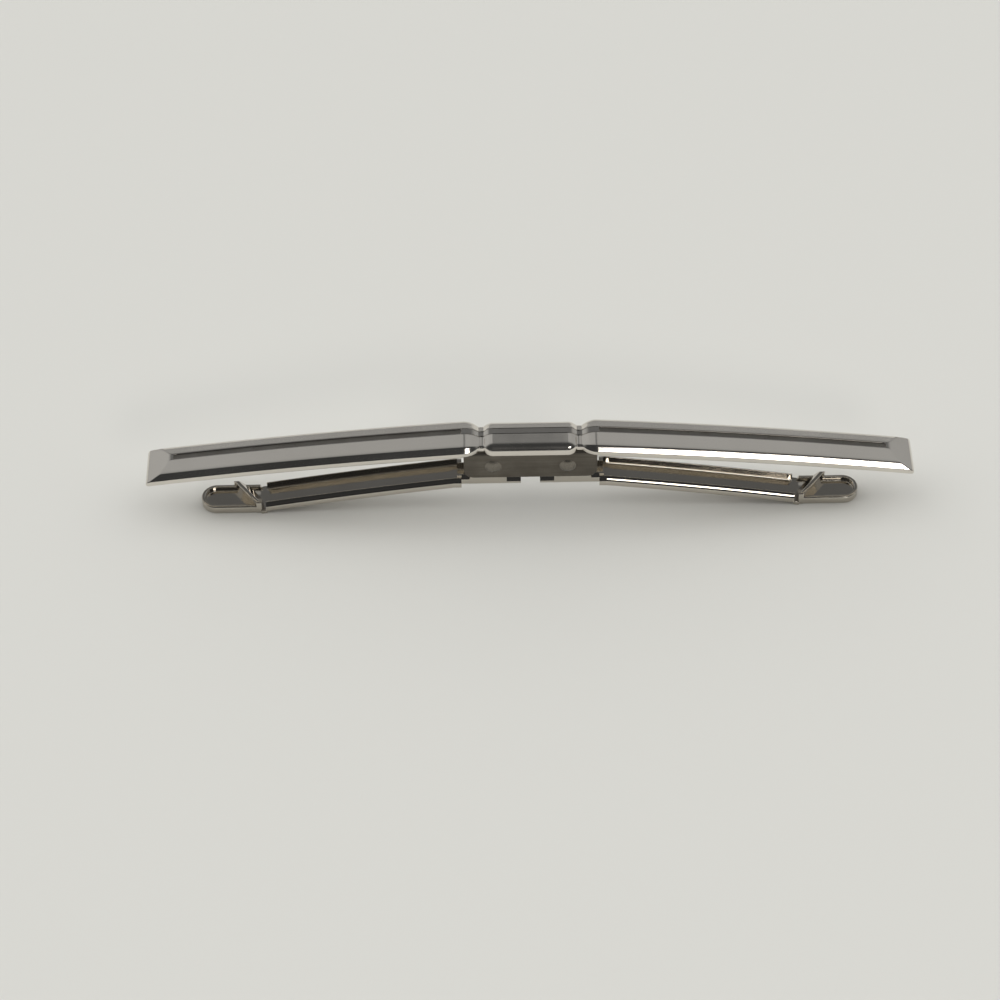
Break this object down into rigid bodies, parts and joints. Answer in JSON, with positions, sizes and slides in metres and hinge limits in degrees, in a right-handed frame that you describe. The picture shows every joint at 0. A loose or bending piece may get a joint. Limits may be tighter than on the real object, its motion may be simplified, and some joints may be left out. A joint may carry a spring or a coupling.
{
  "type": "tie clip",
  "caption": "Double-ended tie clip: an arched front bar with a hinge housing on its back and a sprung channel jaw toward each end.",
  "frame": {"origin": "on the surface that the jaws' feet stand on, under the middle of the bar", "axes": "+X along the bar toward the right jaw, +Y across the bar, +Z out of the bar's face"},
  "size_m": [0.06, 0.0034, 0.0079],
  "materials": {
    "bright_plate": "brass bar with a bright silver-coloured plate, mirror polished",
    "satin_nickel": "pressed steel with a dull satin nickel plate",
    "pin_steel": "turned steel pin with riveted heads",
    "spring_steel": "bare drawn spring wire",
    "bright_nickel": "pressed steel with a bright nickel plate"
  },
  "bodies": {
    "bar": {"front_bar": "bright_plate", "hinge_housing": "satin_nickel", "left_hinge_pin": "pin_steel", "right_hinge_pin": "pin_steel", "left_spring": "spring_steel", "right_spring": "spring_steel"},
    "left_jaw": {"left_jaw": "bright_nickel"},
    "right_jaw": {"right_jaw": "bright_nickel"}
  },
  "joints": [
    {"name": "left_jaw_hinge", "type": "hinge", "parent": "bar", "child": "left_jaw", "pos_m": [-0.0029, 0, 0.00523], "axis": [0, -1, 0], "range_deg": [0, 14], "stiffness_Nm_per_rad": 0.004, "springref_deg": -57.3, "deforming": ["left_spring"]},
    {"name": "right_jaw_hinge", "type": "hinge", "parent": "bar", "child": "right_jaw", "pos_m": [0.0029, 0, 0.00523], "axis": [0, 1, 0], "range_deg": [0, 14], "stiffness_Nm_per_rad": 0.004, "springref_deg": -57.3, "deforming": ["right_spring"]}
  ]
}
